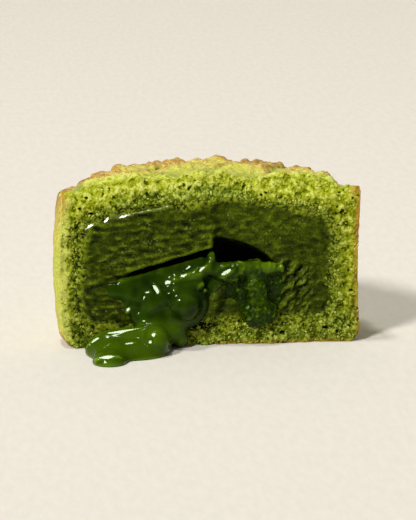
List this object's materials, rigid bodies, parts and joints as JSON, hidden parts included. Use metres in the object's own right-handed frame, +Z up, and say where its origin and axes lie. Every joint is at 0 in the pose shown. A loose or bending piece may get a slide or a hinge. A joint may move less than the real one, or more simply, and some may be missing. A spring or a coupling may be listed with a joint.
{
  "type": "half mooncake with a molten centre",
  "caption": "Half of a round fluted mooncake, cut straight down: moulded crust, dense paste filling and molten cream that runs out of the cut onto the surface below.",
  "frame": {"origin": "middle of the flat base, on the surface it stands on, half a radius behind the cut", "axes": "+X along the cut, +Y from the cut face to the round back, +Z up"},
  "size_m": [0.0503, 0.0378, 0.0284],
  "materials": {
    "crust": "baked, finely grained, browned at the rim",
    "filling": "moist fine paste",
    "lava": "wet gloss"
  },
  "bodies": {
    "root": {"crust": "crust", "filling": "filling", "lava": "lava"}
  },
  "joints": []
}
